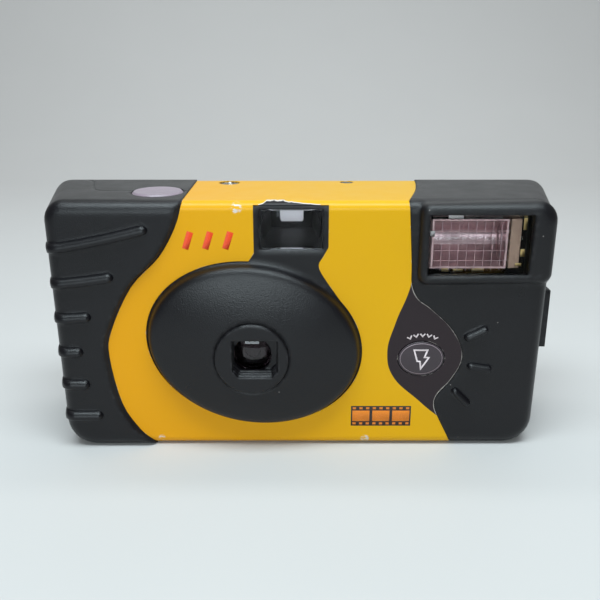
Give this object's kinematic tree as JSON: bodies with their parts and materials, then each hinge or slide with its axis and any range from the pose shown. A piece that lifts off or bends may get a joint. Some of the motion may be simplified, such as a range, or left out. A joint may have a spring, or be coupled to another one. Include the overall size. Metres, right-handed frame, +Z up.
{
  "type": "single-use film camera",
  "caption": "Compact single-use flash film camera in a wrapped label, with an oval lens dome, ribbed grip, shutter button, flash charge button and thumb wheel.",
  "frame": {"origin": "centre of the box round the part, at the base it stands on", "axes": "+X to the right seen from the front, -Y towards the subject, +Z up"},
  "size_m": [0.128, 0.0395, 0.0623],
  "materials": {
    "black_plastic": "fine grained, satin",
    "label": "glossy printed paper",
    "dark_plastic": "satin",
    "button_plastic": "satin silver grey",
    "flash_key": "glossy printed cap",
    "clear_plastic": "clear",
    "white_plastic": "satin",
    "reflector_metal": "polished",
    "steel": "plain",
    "brass": "plain",
    "board": "laminate",
    "component": "lacquered",
    "capacitor_sleeve": "shrink sleeve",
    "winding": "enamelled wire",
    "film_base": "film base",
    "cartridge_metal": "printed sheet metal",
    "cap_metal": "plain",
    "battery_sleeve": "printed sleeve",
    "rubber": "plain",
    "lamp": "orange glow lamp"
  },
  "bodies": {
    "camera": {"front_cover": "black_plastic", "back_cover": "black_plastic", "wrap_label": "label", "lens_hood": "dark_plastic", "taking_lens": "clear_plastic", "lens_stop": "dark_plastic", "striker_spring": "steel", "button_spring": "steel", "main_frame": "dark_plastic", "light_baffle": "dark_plastic", "cartridge_shell": "cartridge_metal", "cartridge_caps": "cap_metal", "film_strip": "film_base", "counter_window": "clear_plastic", "finder_lens": "clear_plastic", "finder_eyepiece": "clear_plastic", "flash_window": "clear_plastic", "flash_reflector": "reflector_metal", "flash_tube": "clear_plastic", "tube_holder": "rubber", "circuit_board": "board", "board_components": "component", "main_capacitor": "capacitor_sleeve", "step_up_transformer": "winding", "trigger_coil": "winding", "switch_leaf": "brass", "sync_contacts": "brass", "battery": "battery_sleeve", "positive_contact": "steel", "negative_contact": "steel", "ready_lamp": "lamp", "light_pipe": "clear_plastic"},
    "shutter_button": {"shutter_button": "button_plastic"},
    "release_lever": {"release_lever": "white_plastic"},
    "striker": {"striker_lever": "white_plastic"},
    "blade": {"shutter_blade": "steel"},
    "winding_wheel": {"thumb_wheel": "dark_plastic", "cartridge_spool": "dark_plastic"},
    "film_supply": {"supply_spool": "dark_plastic", "film_roll": "film_base"},
    "sprocket": {"sprocket": "white_plastic"},
    "counter": {"counter_dial": "white_plastic"},
    "flash_button": {"flash_button": "flash_key"}
  },
  "joints": [
    {"name": "shutter_press", "type": "slide", "parent": "camera", "child": "shutter_button", "axis": [0, 0, -1], "range_m": [0, 0.001], "stiffness_N_per_m": 300, "deforming": ["button_spring"]},
    {"name": "release_rock", "type": "hinge", "parent": "camera", "child": "release_lever", "pos_m": [-0.021, -0.0029, 0.0576], "axis": [0, -1, 0], "range_deg": [0, 13.7]},
    {"name": "striker_swing", "type": "hinge", "parent": "camera", "child": "striker", "pos_m": [-0.0151, -0.003, 0.0532], "axis": [0, 0, 1], "range_deg": [0, 20]},
    {"name": "blade_swing", "type": "hinge", "parent": "camera", "child": "blade", "pos_m": [-0.0135, -0.011, 0.0425], "axis": [0, 1, 0], "range_deg": [0, 22.1]},
    {"name": "wheel_turn", "type": "hinge", "parent": "camera", "child": "winding_wheel", "pos_m": [-0.04175, 0.005, 0.055], "axis": [0, 0, 1], "continuous": true},
    {"name": "supply_turn", "type": "hinge", "parent": "camera", "child": "film_supply", "pos_m": [0.0192, 0.00585, 0.0257], "axis": [0, 0, 1], "continuous": true},
    {"name": "sprocket_turn", "type": "hinge", "parent": "camera", "child": "sprocket", "pos_m": [-0.0139, 0.0081, 0.0412], "axis": [0, 0, 1], "continuous": true},
    {"name": "counter_turn", "type": "hinge", "parent": "camera", "child": "counter", "pos_m": [-0.02011, 0.01061, 0.0582], "axis": [0, 0, 1], "continuous": true},
    {"name": "flash_press", "type": "slide", "parent": "camera", "child": "flash_button", "axis": [0, 1, 0], "range_m": [0, 0.0005], "stiffness_N_per_m": 400}
  ],
  "couplings": [
    {"joint": "release_rock", "follows": "shutter_press", "rad_per_m": 238.09},
    {"joint": "blade_swing", "follows": "striker_swing", "ratio": 1.1},
    {"joint": "supply_turn", "follows": "wheel_turn", "ratio": 0.86},
    {"joint": "sprocket_turn", "follows": "wheel_turn", "ratio": 1.32},
    {"joint": "counter_turn", "follows": "wheel_turn", "ratio": -0.044}
  ]
}
